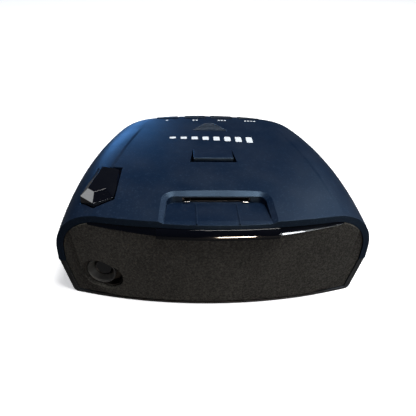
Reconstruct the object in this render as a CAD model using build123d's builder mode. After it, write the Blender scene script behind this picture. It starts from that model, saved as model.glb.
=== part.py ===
from build123d import *
import os
from math import asin, atan, cos, degrees, radians, sin, sqrt, tan

# Windscreen radar and laser detector, millimetres.
# +X is to the right seen from the front, +Y points to the driver, +Z is up.
# Depths are measured rearwards from the front datum, the middle of the front rim.
# The origin is under the middle of the casing, on the surface that it rests on.

# ---- casing ----
WIDTH = 100.0
LENGTH = 85.5
CROWN_TOP = 36.5  # highest level of the lid
CROWN_DEPTH = 46.0  # depth of that highest level
CROWN_R = 250.0  # lid curvature from front to rear
CROSS_R = 640.0  # lid curvature from side to side
PARTING_Z = 12.5  # joint between the two casing halves
WALL = 2.2
SHOULDER_R = 15.5  # rounding between the lid and the side walls
FRONT_R = 164.0  # bow of the front rim seen from above
REAR_R = 104.0
CORNER_R = 21.0
REAR_ANGLE = 14.0  # half of the rear arc
CORNER_END = 73.0  # where the rear corner runs into the side
SKIRT_ANGLE = 15.0  # inward slope of the lower half
STEP = 0.3  # lower half set back at the joint
PARTING_GAP = 0.12
BASE_R = 1.8  # rounding under the lower half
BROW_OUT = 1.5  # room kept for the brow window ahead of the rim
GAP = 0.15  # clearance between fixed pieces

FRONT_Y = -(LENGTH - BROW_OUT) / 2
AHEAD = 4.0  # casing blanks run this far past the front datum
HIGH = 45.0  # above everything

REAR_CENTER = (0.0, LENGTH - REAR_R)
CORNER_CENTER = (
    (REAR_R - CORNER_R) * sin(radians(REAR_ANGLE)),
    REAR_CENTER[1] + (REAR_R - CORNER_R) * cos(radians(REAR_ANGLE)),
)
CORNER_SIN = sin(radians(CORNER_END))
SIDE_R = (WIDTH / 2 - CORNER_CENTER[0] - CORNER_R * CORNER_SIN) / (1 - CORNER_SIN)
SIDE_CENTER = (
    WIDTH / 2 - SIDE_R,
    CORNER_CENTER[1] - (SIDE_R - CORNER_R) * cos(radians(CORNER_END)),
)

# ---- front panel ----
PANEL_PROUD = 0.4  # the swollen middle stands ahead of the rim
PANEL_LIP = 1.3  # thickness of the lip over the lower rim
PANEL_BACK = 3.4
PANEL_SET_BACK = 0.5  # flat outer corners behind the rim
PANEL_BOTTOM = 0.9
PANEL_SILL = 1.0  # floor of the lower half under the panel
SWELL_HALF_LOW = 42.0
SWELL_HALF_HIGH = 47.5
SWELL_R = 12.0
SWELL_BEVEL = 0.7

# ---- brow window ----
BROW_HALF = 18.2
BROW_LOW = 26.9
BROW_TOP = 29.75
BROW_FACE = (1.42, 1.3, 0.1)  # how far the middle stands ahead of the rim, from low to high
WING_FACE = (1.26, 0.68, -0.25)
BROW_FACE_LOW = 25.9  # level that the faces are counted from
WING_LOW = 27.45
WING_TIP = 38.5
WING_TIP_Z = 28.75
BROW_BACK = 2.6

# ---- forward laser lens ----
EYE_X = -36.5
EYE_Z = 10.0
EYE_R = 4.65
EYE_HOLE_R = 5.1
EYE_SCOOP = (2.6, -1.0)  # the hole runs out to the middle of the front and down
EYE_SCOOP_R = 4.9
EYE_STEP_X = -1.2  # shallow round step on the outer side
EYE_STEP = 0.5
EYE_SHROUD = 1.1  # the barrel's front edge, behind the bowed front
EYE_FLOOR = 3.6  # black floor of the scoop beside the lens
EYE_WALL = 0.4
EYE_TUBE_TOP = 0.8  # front edge of the tube round the lens
EYE_TUBE_THROAT = 3.2
EYE_TUBE_LIP = 0.3
EYE_GLASS_R = 3.3
EYE_GLASS_TOP = 2.3
EYE_DOME = 1.2
EYE_TURN = degrees(asin(-EYE_X / FRONT_R))

# ---- side laser lens ----
SIDE_LENS = [(-30.6, 27.4), (-31.3, 11.2), (-36.9, 7.8), (-41.3, 11.8), (-38.6, 29.0)]
SIDE_LENS_TOP = 36.2
SIDE_LENS_GAP = 0.3
SIDE_LENS_BEVEL = 2.3

# ---- bracket recess, slot and release ----
RECESS_REAR = 12.5
RECESS_REAR_HALF = 15.1
RECESS_FRONT_HALF = 16.3
RECESS_FLOOR = 31.7  # level of the floor at the front datum
RECESS_FALL = 3.0  # degrees, floor falling to the rear
RECESS_CORNER = 2.4
BEVEL_WIDTH = 2.0
BEVEL_DROP = 0.9
BEVEL_RISE = 8.8  # degrees, mean slope of the lid over the recess
SLOT_HALF = 10.6
SLOT_LOW = 31.1
SLOT_HEIGHT = 1.8
SLOT_END = 24.0
NOSE_HALF = 4.6  # narrow rear stretch of the slot
NOSE_END = 36.0
LINER = 0.4
BUTTON_HALF = 6.75
BUTTON_FRONT = 31.3
BUTTON_REAR = 38.6
BUTTON_LIFT = 1.0
POCKET_HALF = 8.0
POCKET_FRONT = 30.3
POCKET_GAP = 0.15
RETAINER_Z = 24.0

RIDGE_X = 6.3
RIDGE_LENGTH = 12.0
RIDGE_WIDTH = 0.4
RIDGE_HEIGHT = 0.15

# ---- keys, grille and rear display ----
KEY_CENTERS = [-17.0, -5.5, 5.5, 17.0]
KEY_WIDTH = 8.6
KEY_FRONT = 70.6
KEY_REAR = 77.0
KEY_PROUD = 0.2
KEY_GAP = 0.25
KEY_FLANGE = 0.8
KEY_FLANGE_LOW = 28.8
KEY_STEM_LOW = 27.6
KEY_STEM_DEPTH = 72.6
KEY_BOARD_Z = 23.8
KEY_BOARD_T = 1.2
SWITCH_HALF = 1.8
GRILLE_FRONT = 55.9
GRILLE_PITCH = 1.42
GRILLE_SLOTS = 6
GRILLE_FRONT_HALF = 6.5
GRILLE_REAR_HALF = 2.2
GRILLE_SLOT = 0.75
GRILLE_SKIN = 1.0  # thickness of the lid over the speaker
SPEAKER_DEPTH = 59.4
SPEAKER_R = 10.0
CLOTH_R = 8.6
CLOTH_T = 0.4
CLOTH_BELOW = 0.3  # the cloth bars in the slots end this far under the lid's surface
WINDOW_HALF = 23.0
WINDOW_LOW = 14.5
WINDOW_HIGH = 24.5
WINDOW_R = 2.0

# ---- underside label ----
LABEL_HALF = 20.0
LABEL_FRONT = 30.0
LABEL_REAR = 56.0
LABEL_BED = 0.35
LABEL_T = 0.2

# ---- boards, jacks and fasteners ----
BOARD_Z = 4.0
BOARD_T = 1.6
BOARD_FRONT = 17.6
BOARD_REAR = 80.0
BOARD_INSET = 5.9
CASE_BOSSES = [(-38.8, 35.0), (38.8, 35.0), (-29.5, 68.0), (29.5, 68.0)]
BOSS_R = 3.1
BOSS_SPLIT = 10.0
SCREW_R = 1.2
SCREW_HEAD_R = 2.3
BOARD_POINTS = [(-26.0, 22.0), (26.0, 22.0), (-20.0, 75.0), (20.0, 75.0)]
JACK_Z = 8.3
POWER_DEPTH = 47.0
AUDIO_DEPTH = 58.0
DATA_DEPTH = 24.0
JACK_R = 2.9
POWER_BORE_R = 1.8
AUDIO_BORE_R = 1.8

os.makedirs("parts", exist_ok=True)


def level(z):
    """Horizontal plane whose second coordinate is the depth behind the front datum."""
    return Plane(origin=(0, FRONT_Y, z), x_dir=(1, 0, 0), z_dir=(0, 0, 1))


def upright(depth):
    """Vertical plane facing forwards, its coordinates being X and the height."""
    return Plane(origin=(0, FRONT_Y + depth, 0), x_dir=(1, 0, 0), z_dir=(0, -1, 0))


def sideways(x):
    """Vertical plane facing +X, its coordinates being the depth and the height."""
    return Plane(origin=(x, FRONT_Y, 0), x_dir=(0, 1, 0), z_dir=(1, 0, 0))


def lid_level(depth):
    """Height of the lid on its centre line."""
    return CROWN_TOP - CROWN_R + sqrt(CROWN_R**2 - (depth - CROWN_DEPTH) ** 2)


def front_depth(x):
    """Depth of the bowed front at a distance from the middle."""
    return FRONT_R - sqrt(FRONT_R**2 - x**2)


def keep(piece, name):
    """Label a finished piece and write it."""
    piece.label = name
    export_step(piece, f"parts/{name}.step")


def plan(z, inset):
    """Outline of the casing from above, drawn inside its true outline by the inset."""
    side_x = SIDE_CENTER[0] + SIDE_R - inset
    with BuildSketch(level(z)) as outline:
        with BuildLine():
            CenterArc(REAR_CENTER, REAR_R - inset, 90 - REAR_ANGLE, REAR_ANGLE)
            CenterArc(CORNER_CENTER, CORNER_R - inset, 90 - CORNER_END, CORNER_END - REAR_ANGLE)
            CenterArc(SIDE_CENTER, SIDE_R - inset, 0, 90 - CORNER_END)
            Polyline((side_x, SIDE_CENTER[1]), (side_x, -AHEAD), (0, -AHEAD))
            mirror(about=Plane.YZ)
        make_face()
    return outline.sketch


def crown(inset):
    """Everything under the lid's double curvature."""
    half_sweep = 7.0
    tilt = radians(-half_sweep)
    low = CROSS_R - 80
    reach = CROWN_DEPTH + AHEAD + 6
    axis_z = CROWN_TOP - CROSS_R
    profile_plane = Plane(
        origin=(0, FRONT_Y + CROWN_DEPTH, axis_z), x_dir=(0, 1, 0), z_dir=(cos(tilt), 0, -sin(tilt))
    )
    radius = CROWN_R - inset
    edge = CROSS_R - CROWN_R + sqrt(radius**2 - reach**2)
    with BuildPart() as body:
        with BuildSketch(profile_plane):
            with BuildLine():
                ThreePointArc((-reach, edge), (0, CROSS_R - inset), (reach, edge))
                Polyline((reach, edge), (reach, low), (-reach, low), (-reach, edge))
            make_face()
        revolve(axis=Axis((0, 0, axis_z), (0, 1, 0)), revolution_arc=2 * half_sweep)
    return body.part


def upper_blank(inset):
    """Solid upper half: upright walls, rounded shoulder and crowned lid."""
    lid = crown(inset)
    with BuildPart() as body:
        extrude(plan(PARTING_Z, inset), amount=HIGH - PARTING_Z)
        add(lid, mode=Mode.INTERSECT)
        rim = body.faces().sort_by(Axis.Z)[-1].edges().sort_by(Axis.Y)[1:]
        fillet(rim, SHOULDER_R - inset)
    return body.part


def lower_blank(inset):
    """Solid lower half: walls sloping inwards to a flat base."""
    slope = PARTING_Z * tan(radians(SKIRT_ANGLE))
    with BuildPart() as body:
        loft([plan(PARTING_Z, inset), plan(0, inset + slope)], ruled=True)
    return body.part


def front_slab(near, far):
    """Layer bowed like the front rim, between two depths behind it."""
    half = WIDTH / 2 + 5
    sag = front_depth(half)
    with BuildPart() as body:
        with BuildSketch(level(-1)):
            with BuildLine():
                ThreePointArc((-half, near + sag), (0, near), (half, near + sag))
                Line((half, near + sag), (half, far + sag))
                ThreePointArc((half, far + sag), (0, far), (-half, far + sag))
                Line((-half, far + sag), (-half, near + sag))
            make_face()
        extrude(amount=HIGH + 1)
    return body.part


def box_between(x0, x1, d0, d1, z0, z1):
    """Plain block between two X, two depths and two heights."""
    with BuildPart() as body:
        with BuildSketch(level(z0)):
            with Locations(((x0 + x1) / 2, (d0 + d1) / 2)):
                Rectangle(x1 - x0, d1 - d0)
        extrude(amount=z1 - z0)
    return body.part


def swell_outline(spread):
    """Swollen middle of the front panel from the front, its lower corners rounded wide."""
    low = PANEL_BOTTOM - spread
    with BuildSketch(upright(-AHEAD)) as outline:
        with BuildLine():
            Polyline(
                (-SWELL_HALF_LOW - spread, low),
                (SWELL_HALF_LOW + spread, low),
                (SWELL_HALF_HIGH + spread, HIGH),
                (-SWELL_HALF_HIGH - spread, HIGH),
                close=True,
            )
        make_face()
        fillet(outline.vertices().group_by(Axis.Z)[0], SWELL_R + spread)
    return outline.sketch


def brow_outline(spread):
    """Brow window from the front: a deep middle and two wings running out to points."""
    low = BROW_LOW - spread
    wing = WING_LOW - spread
    with BuildSketch(upright(-AHEAD)) as outline:
        with BuildLine():
            Polyline(
                (0, low),
                (BROW_HALF + spread, low),
                (BROW_HALF + spread, wing),
                (WING_TIP + spread, WING_TIP_Z - spread),
                (WING_TIP + spread, HIGH),
                (0, HIGH),
            )
            mirror(about=Plane.YZ)
        make_face()
    return outline.sketch


def bowed_bar(face):
    """Bar that follows the bow of the front, its leaning face rounded out from a low to a high edge."""
    low_out, middle_out, high_out = face
    half_sweep = 20.0
    start = radians(half_sweep)
    outward = (-sin(start), -cos(start), 0)
    bow = Plane(origin=(0, FRONT_Y + FRONT_R, 0), x_dir=outward, z_dir=(-cos(start), sin(start), 0))
    low = BROW_FACE_LOW
    with BuildPart() as body:
        with BuildSketch(bow):
            with BuildLine():
                Line((FRONT_R - BROW_BACK, low), (FRONT_R + low_out, low))
                ThreePointArc(
                    (FRONT_R + low_out, low),
                    (FRONT_R + middle_out, (low + BROW_TOP) / 2),
                    (FRONT_R + high_out, BROW_TOP),
                )
                Line((FRONT_R + high_out, BROW_TOP), (FRONT_R - BROW_BACK, BROW_TOP))
                Line((FRONT_R - BROW_BACK, BROW_TOP), (FRONT_R - BROW_BACK, low))
            make_face()
        revolve(axis=Axis((0, FRONT_Y + FRONT_R, 0), (0, 0, 1)), revolution_arc=2 * half_sweep)
    return body.part


def recess_outline(plane, spread):
    """Bracket recess from above, its sides opening a little to the front."""
    with BuildSketch(plane) as outline:
        with BuildLine():
            Polyline(
                (-RECESS_FRONT_HALF - spread, -AHEAD - 1),
                (-RECESS_REAR_HALF - spread, RECESS_REAR + spread),
                (RECESS_REAR_HALF + spread, RECESS_REAR + spread),
                (RECESS_FRONT_HALF + spread, -AHEAD - 1),
                close=True,
            )
        make_face()
        fillet(outline.vertices().group_by(Axis.Y)[-1], RECESS_CORNER + spread)
    return outline.sketch


def side_lens_outline(z, spread):
    """Long six-sided foot of the side lens."""
    with BuildSketch(level(z)) as outline:
        with BuildLine():
            Polyline(*SIDE_LENS, close=True)
        make_face()
        offset(amount=spread, kind=Kind.INTERSECTION)
    return outline.sketch


def prism(outline, amount):
    """Outline drawn out along its plane's normal."""
    with BuildPart() as body:
        extrude(outline, amount=amount)
    return body.part


def window_prism(spread):
    """Display opening, drawn from inside out through the rear wall."""
    with BuildPart() as body:
        with BuildSketch(upright(LENGTH - 18)):
            with Locations((0, (WINDOW_LOW + WINDOW_HIGH) / 2)):
                RectangleRounded(
                    2 * (WINDOW_HALF + spread), WINDOW_HIGH - WINDOW_LOW + 2 * spread, WINDOW_R + spread
                )
        extrude(amount=-24)
    return body.part


def eye_plane(depth):
    """Plane square to the forward lens, a depth behind the bowed front."""
    turn = radians(EYE_TURN)
    x = EYE_X + depth * sin(turn)
    y = FRONT_Y + front_depth(EYE_X) + depth * cos(turn)
    return Plane(origin=(x, y, EYE_Z), x_dir=(cos(turn), -sin(turn), 0), z_dir=(-sin(turn), -cos(turn), 0))


# ---- shared blanks ----
lid_solid = upper_blank(0)
lid_cavity = upper_blank(WALL)
mouth = front_slab(-40, 0)
panel_fit = upper_blank(WALL + GAP)
panel_fit_low = lower_blank(WALL + GAP)
swell = prism(swell_outline(0), -30)
swell_seat = prism(swell_outline(GAP), -30)
brow = prism(brow_outline(0), -30)
brow_seat = prism(brow_outline(GAP / 2), -30)
BEVEL_PLANE = Plane(
    origin=(0, FRONT_Y, lid_level(0)),
    x_dir=(1, 0, 0),
    z_dir=(0, -sin(radians(BEVEL_RISE)), cos(radians(BEVEL_RISE))),
)
FLOOR_PLANE = Plane(
    origin=(0, FRONT_Y, RECESS_FLOOR),
    x_dir=(1, 0, 0),
    z_dir=(0, sin(radians(RECESS_FALL)), cos(radians(RECESS_FALL))),
)
BEVEL_ANGLE = degrees(atan(BEVEL_WIDTH / BEVEL_DROP))
with BuildPart() as recess_cut:
    extrude(recess_outline(FLOOR_PLANE, 0), amount=4)
    extrude(recess_outline(BEVEL_PLANE.offset(-BEVEL_DROP), 0), amount=3 * BEVEL_DROP, taper=-BEVEL_ANGLE)


def bore(plane, radius, amount):
    """Round rod standing on a plane."""
    with BuildPart() as body:
        with BuildSketch(plane):
            Circle(radius)
        extrude(amount=amount)
    return body.part


def key_prism(center, spread, low, high):
    """Upright block with a key's outline."""
    half = KEY_WIDTH / 2 + spread
    return box_between(center - half, center + half, KEY_FRONT - spread, KEY_REAR + spread, low, high)


def grille_half(index):
    """Half length of a grille slot, counted from the front."""
    share = index / (GRILLE_SLOTS - 1)
    return GRILLE_FRONT_HALF + share * (GRILLE_REAR_HALF - GRILLE_FRONT_HALF)


def grille_bars(spread):
    """Upright bars with the outlines of the speaker slots."""
    with BuildPart() as body:
        with BuildSketch(level(31)):
            for index in range(GRILLE_SLOTS):
                with Locations((0, GRILLE_FRONT + index * GRILLE_PITCH)):
                    Rectangle(2 * (grille_half(index) - spread), GRILLE_SLOT - 2 * spread)
        extrude(amount=8)
    return body.part


def side_hole(depth, radius, length):
    """Rod along X that opens a round jack hole in the right wall."""
    return bore(Plane(origin=(30, FRONT_Y + depth, JACK_Z), z_dir=(1, 0, 0)), radius, length)


slot_high = SLOT_LOW + SLOT_HEIGHT
bracket_slot = box_between(-SLOT_HALF, SLOT_HALF, RECESS_REAR - 1, SLOT_END, SLOT_LOW, slot_high)
nose_slot = box_between(-NOSE_HALF, NOSE_HALF, SLOT_END, NOSE_END, SLOT_LOW, slot_high)
pocket_rear = BUTTON_REAR + POCKET_GAP
with BuildPart() as button_pocket:
    with BuildSketch(level(RETAINER_Z - 1)):
        with BuildLine():
            Polyline(
                (-POCKET_HALF, POCKET_FRONT),
                (POCKET_HALF, POCKET_FRONT),
                (BUTTON_HALF + POCKET_GAP, pocket_rear),
                (-BUTTON_HALF - POCKET_GAP, pocket_rear),
                close=True,
            )
        make_face()
    extrude(amount=HIGH - RETAINER_Z)

# ---- upper housing ----
with BuildPart() as upper_housing:
    add(lid_solid)
    add(lid_cavity, mode=Mode.SUBTRACT)
    # block that carries the bracket recess, the slot and the release button
    add(box_between(-18.5, 18.5, -AHEAD, 15, 29.9, HIGH) & upper_blank(1))
    add(box_between(-12.4, 12.4, 10, 41, 29, HIGH) & upper_blank(1))
    add(box_between(-10, 10, 28.5, 41, RETAINER_Z + 1.2, HIGH) & upper_blank(1))
    add(recess_cut.part, mode=Mode.SUBTRACT)
    # two low ridges along the recess floor
    with BuildSketch(FLOOR_PLANE.offset(-0.3)):
        with Locations((-RIDGE_X, RIDGE_LENGTH / 2 - 1), (RIDGE_X, RIDGE_LENGTH / 2 - 1)):
            Rectangle(RIDGE_WIDTH, RIDGE_LENGTH + 2)
    extrude(amount=0.3 + RIDGE_HEIGHT)
    add(mouth, mode=Mode.SUBTRACT)
    add(bracket_slot, mode=Mode.SUBTRACT)
    add(nose_slot, mode=Mode.SUBTRACT)
    add(button_pocket.part, mode=Mode.SUBTRACT)
    # screw posts reaching down from the lid
    for boss_x, boss_depth in CASE_BOSSES:
        post_plane = Plane(origin=(boss_x, FRONT_Y + boss_depth, BOSS_SPLIT + 0.2))
        add(bore(post_plane, BOSS_R, HIGH - BOSS_SPLIT) & upper_blank(1))
        add(bore(post_plane, SCREW_R + 0.05, 7), mode=Mode.SUBTRACT)
    # openings for the side lens, keys, speaker and display
    add(prism(side_lens_outline(27, SIDE_LENS_GAP), 20), mode=Mode.SUBTRACT)
    for center in KEY_CENTERS:
        add(key_prism(center, KEY_GAP, 25, HIGH), mode=Mode.SUBTRACT)
    add(grille_bars(0), mode=Mode.SUBTRACT)
    speaker_room = bore(Plane(origin=(0, FRONT_Y + SPEAKER_DEPTH, 28)), CLOTH_R + GAP, 12)
    add(speaker_room & upper_blank(GRILLE_SKIN), mode=Mode.SUBTRACT)
    add(window_prism(GAP), mode=Mode.SUBTRACT)

# ---- lower housing ----
with BuildPart() as lower_housing:
    add(lower_blank(STEP))
    base_edges = lower_housing.faces().sort_by(Axis.Z)[0].edges().sort_by(Axis.Y)[1:]
    fillet(base_edges, BASE_R)
    add(lower_blank(WALL) & box_between(-60, 60, -20, 120, WALL, 20), mode=Mode.SUBTRACT)
    for boss_x, boss_depth in CASE_BOSSES:
        boss_plane = Plane(origin=(boss_x, FRONT_Y + boss_depth, 0.5))
        base_plane = Plane(origin=(boss_x, FRONT_Y + boss_depth, -1))
        add(bore(boss_plane, BOSS_R, BOSS_SPLIT - 0.5))
        add(bore(base_plane, SCREW_R + 0.05, 20), mode=Mode.SUBTRACT)
        add(bore(base_plane, SCREW_HEAD_R + 0.2, 6), mode=Mode.SUBTRACT)
    for boss_x, boss_depth in BOARD_POINTS:
        boss_plane = Plane(origin=(boss_x, FRONT_Y + boss_depth, 1))
        add(bore(boss_plane, 2.4, BOARD_Z - 1))
        add(bore(Plane(boss_plane.origin), 0.95, 10), mode=Mode.SUBTRACT)
    add(side_hole(POWER_DEPTH, JACK_R + GAP, 20), mode=Mode.SUBTRACT)
    add(side_hole(AUDIO_DEPTH, JACK_R + GAP, 20), mode=Mode.SUBTRACT)
    add(box_between(40, 60, DATA_DEPTH - 4.2, DATA_DEPTH + 4.2, 6, 10.6), mode=Mode.SUBTRACT)
    sill = lower_blank(WALL) & box_between(-60, 60, -20, 120, PANEL_SILL, 20)
    add(sill & front_slab(-AHEAD, PANEL_BACK + GAP), mode=Mode.SUBTRACT)
    add(swell_seat & front_slab(-AHEAD, PANEL_LIP), mode=Mode.SUBTRACT)
    add(box_between(-60, 60, -20, 120, PARTING_Z - PARTING_GAP, PARTING_Z + 1), mode=Mode.SUBTRACT)
    # shallow bed of the blank underside label
    label_half = LABEL_HALF + GAP
    label_bed = box_between(-label_half, label_half, LABEL_FRONT - GAP, LABEL_REAR + GAP, -1, LABEL_BED)
    add(label_bed, mode=Mode.SUBTRACT)
    add(mouth, mode=Mode.SUBTRACT)


def eye_outline(depth, spread):
    """Hole of the forward lens, run out to one side, square to the lens."""
    with BuildSketch(eye_plane(depth)) as outline:
        Circle(EYE_HOLE_R + spread)
        with Locations(EYE_SCOOP):
            Circle(EYE_SCOOP_R + spread)
        make_hull()
    return outline.sketch


def eye_prism(depth, spread, amount):
    """Solid with the outline of the lens hole, reaching forwards from a depth."""
    return prism(eye_outline(depth, spread), amount)


# ---- front panel with the hole of the forward lens ----
panel_inside = panel_fit.fuse(panel_fit_low & box_between(-60, 60, -20, 120, PANEL_SILL + GAP, 20))
with BuildPart() as panel_middle:
    add(swell & front_slab(-PANEL_PROUD, PANEL_LIP - GAP))
    chamfer(panel_middle.faces().sort_by(Axis.Y)[0].edges(), SWELL_BEVEL)
with BuildPart() as front_panel:
    add(panel_middle.part & panel_fit.fuse(lower_blank(1.4)))
    add(swell & front_slab(PANEL_LIP - GAP - 0.1, PANEL_BACK) & panel_inside)
    add(panel_inside & front_slab(PANEL_SET_BACK, PANEL_BACK))
    add(brow_seat, mode=Mode.SUBTRACT)
    add(eye_prism(8, 0, 14), mode=Mode.SUBTRACT)
    eye_step = eye_plane(PANEL_SET_BACK + EYE_STEP)
    step_center = eye_step.from_local_coords((EYE_STEP_X, 0, 0))
    add(bore(eye_step.shift_origin(step_center), EYE_HOLE_R, 6), mode=Mode.SUBTRACT)

# ---- brow window, gloss infrared strip under the front of the lid ----
with BuildPart() as brow_window:
    middle = box_between(-BROW_HALF, BROW_HALF, -20, 20, 20, HIGH)
    add(brow & panel_fit & bowed_bar(WING_FACE))
    add(brow & panel_fit & bowed_bar(BROW_FACE) & middle)

# ---- forward laser eye ----
with BuildPart() as eye_barrel:
    add(eye_prism(9.5, -GAP, 9.5 - EYE_SHROUD))
    add(eye_prism(9.5, 0.8, 9.5 - 4.2))
    add(eye_prism(EYE_FLOOR, -GAP - EYE_WALL, EYE_FLOOR), mode=Mode.SUBTRACT)
    add(eye_prism(10, -GAP - EYE_WALL, 10 - EYE_FLOOR - EYE_WALL), mode=Mode.SUBTRACT)
    add(bore(eye_plane(9.5), EYE_R + 0.35, 9.5 - EYE_FLOOR))
    add(bore(eye_plane(9.7), EYE_R - 0.4, 4.5), mode=Mode.SUBTRACT)
    add(bore(eye_plane(5.2), EYE_R + 0.02, 6), mode=Mode.SUBTRACT)

# grey tube that narrows to the throat, where the glass sits
with BuildPart() as eye_tube:
    with BuildSketch(Plane(eye_plane(0).origin, x_dir=(0, 0, 1), z_dir=eye_plane(0).x_dir)):
        with BuildLine():
            Polyline(
                (EYE_R, -EYE_TUBE_TOP),
                (EYE_R, -5.1),
                (EYE_GLASS_R + 0.05, -5.1),
                (EYE_GLASS_R + 0.05, -EYE_TUBE_THROAT),
                (EYE_R - EYE_TUBE_LIP, -EYE_TUBE_TOP),
                close=True,
            )
        make_face()
    revolve(axis=Axis(eye_plane(0).origin, eye_plane(0).z_dir))

with BuildPart() as eye_lens:
    add(bore(eye_plane(5.1), EYE_GLASS_R, 5.1 - EYE_GLASS_TOP))
    fillet(eye_lens.edges().filter_by(GeomType.CIRCLE).sort_by(Axis.Y)[0], EYE_DOME)

with BuildPart() as eye_board:
    with BuildSketch(eye_plane(9.6)):
        Rectangle(12, 12)
    extrude(amount=-1.2)

with BuildPart() as eye_diode:
    with BuildSketch(eye_plane(9.5)):
        Rectangle(5, 4)
    extrude(amount=2)
    fillet(eye_diode.edges().filter_by(Axis.Z), 0.6)

# ---- side laser lens, its board and diode ----
with BuildPart() as side_lens:
    add(prism(side_lens_outline(26, 0), SIDE_LENS_TOP - 26))
    chamfer(side_lens.faces().sort_by(Axis.Z)[-1].edges(), SIDE_LENS_BEVEL)
    foot = prism(side_lens_outline(25, 1.4), 12) & upper_blank(WALL + 0.1)
    add(foot & box_between(-60, 0, 9, 60, 25, 29))
side_x, side_depth = -35.6, 19.0
side_board = box_between(side_x - 4.5, side_x + 4.5, side_depth - 7, side_depth + 7, 22.6, 23.8)
side_diode = box_between(side_x - 2, side_x + 2, side_depth - 2.5, side_depth + 2.5, 23.8, 24.8)

# ---- release button, its return spring and the retainer under it ----
button_low = SLOT_LOW + SLOT_HEIGHT + 0.7
with BuildPart() as release_button:
    with BuildSketch(sideways(-BUTTON_HALF)):
        with BuildLine():
            Polyline(
                (BUTTON_FRONT, button_low),
                (BUTTON_FRONT, lid_level(BUTTON_FRONT) + BUTTON_LIFT),
                (BUTTON_REAR, lid_level(BUTTON_REAR) + 0.1),
                (BUTTON_REAR, button_low),
                close=True,
            )
        make_face()
    extrude(amount=2 * BUTTON_HALF)
    fillet(release_button.edges().filter_by(Axis.X).group_by(Axis.Z)[-1], 0.35)
    for side in (-1, 1):
        add(box_between(side * 6.2 - 0.5, side * 6.2 + 0.5, 33, 38, 28.6, button_low + 0.5))
    add(box_between(-6.7, 6.7, 33, 38, 28.6, 30))
    add(box_between(-2, 2, 33.4, 35.2, 29.5, SLOT_LOW + 1))

with BuildPart() as button_retainer:
    add(box_between(-9.4, 9.4, 28.8, 40.6, RETAINER_Z, RETAINER_Z + 1.2))
    add(bore(Plane(origin=(0, FRONT_Y + 35.5, RETAINER_Z)), 1.2, 2.4))
SPRING_R = 2.3
SPRING_WIRE = 0.3
SPRING_TURNS = 5
spring_low = RETAINER_Z + 1.2 + SPRING_WIRE + 0.05
spring_high = 28.6 - SPRING_WIRE - 0.05
spring_pitch = (spring_high - spring_low) / SPRING_TURNS
with BuildPart() as button_spring:
    with BuildLine(Plane(origin=(0, FRONT_Y + 35.5, spring_low))) as coil:
        Helix(pitch=spring_pitch, height=spring_high - spring_low, radius=SPRING_R)
    with BuildSketch(Plane(origin=coil.line @ 0, z_dir=coil.line % 0)):
        Circle(SPRING_WIRE)
    sweep(path=coil.line)

# ---- steel liner of the bracket slot ----
with BuildPart() as slot_liner:
    outer = SLOT_HALF - 0.05
    inner = SLOT_HALF - LINER
    add(box_between(-outer, outer, RECESS_REAR + 0.6, SLOT_END - 0.05, SLOT_LOW + 0.02, slot_high - 0.02))
    hollow = box_between(-inner, inner, RECESS_REAR - 2, SLOT_END + 2, SLOT_LOW + LINER, slot_high - LINER)
    add(hollow, mode=Mode.SUBTRACT)

# ---- keys, switches and their board ----
key_parts = []
for number, center in enumerate(KEY_CENTERS, start=1):
    with BuildPart() as key:
        add(key_prism(center, 0, KEY_FLANGE_LOW, HIGH) & upper_blank(-KEY_PROUD))
        add(key_prism(center, KEY_FLANGE, KEY_FLANGE_LOW, HIGH) & upper_blank(WALL + GAP))
        add(bore(Plane(origin=(center, FRONT_Y + KEY_STEM_DEPTH, KEY_STEM_LOW)), 1.2, 2))
    key_parts.append((f"key_{number}", key.part))
key_board = box_between(-23.5, 23.5, 69.4, 75, KEY_BOARD_Z, KEY_BOARD_Z + KEY_BOARD_T)
with BuildPart() as key_switches:
    for center in KEY_CENTERS:
        top = KEY_BOARD_Z + KEY_BOARD_T
        left, right = center - SWITCH_HALF, center + SWITCH_HALF
        front, rear = KEY_STEM_DEPTH - SWITCH_HALF, KEY_STEM_DEPTH + SWITCH_HALF
        add(box_between(left, right, front, rear, top, top + 1.2))
        add(bore(Plane(origin=(center, FRONT_Y + KEY_STEM_DEPTH, top + 1)), 0.8, 0.6))

# ---- speaker behind the grille ----
speaker_top = lid_level(SPEAKER_DEPTH) - WALL - 1.1
speaker_plane = Plane(origin=(0, FRONT_Y + SPEAKER_DEPTH, speaker_top))
with BuildPart() as speaker:
    add(bore(speaker_plane.offset(-1.2), SPEAKER_R, 1.2))
    add(bore(speaker_plane.offset(-4), SPEAKER_R - 1.5, 3))
    add(bore(speaker_plane.offset(-5.5), 4.5, 2))
    add(bore(speaker_plane.offset(-0.6), SPEAKER_R - 1, 1), mode=Mode.SUBTRACT)
with BuildPart() as speaker_cloth:
    cloth_disc = bore(speaker_plane.offset(-2), CLOTH_R, 8)
    add(cloth_disc & (upper_blank(GRILLE_SKIN + 0.02) - upper_blank(GRILLE_SKIN + CLOTH_T)))
    add(grille_bars(0.05) & (upper_blank(CLOTH_BELOW) - upper_blank(GRILLE_SKIN + CLOTH_T / 2)))

# ---- rear display: window, module and board ----
with BuildPart() as display_window:
    add(window_prism(0) & (upper_blank(0.35) - upper_blank(WALL + 0.1)))
    add(window_prism(1.4) & (upper_blank(WALL + 0.1) - upper_blank(WALL + 1)))
    add(box_between(-40, 40, 20, 90, 0, PARTING_Z + 0.3), mode=Mode.SUBTRACT)
display_module = box_between(-21, 21, 75.6, 77.8, 14.4, 23.2)
display_board = box_between(-22, 22, 74.2, 75.6, 12.8, 23.4)

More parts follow.
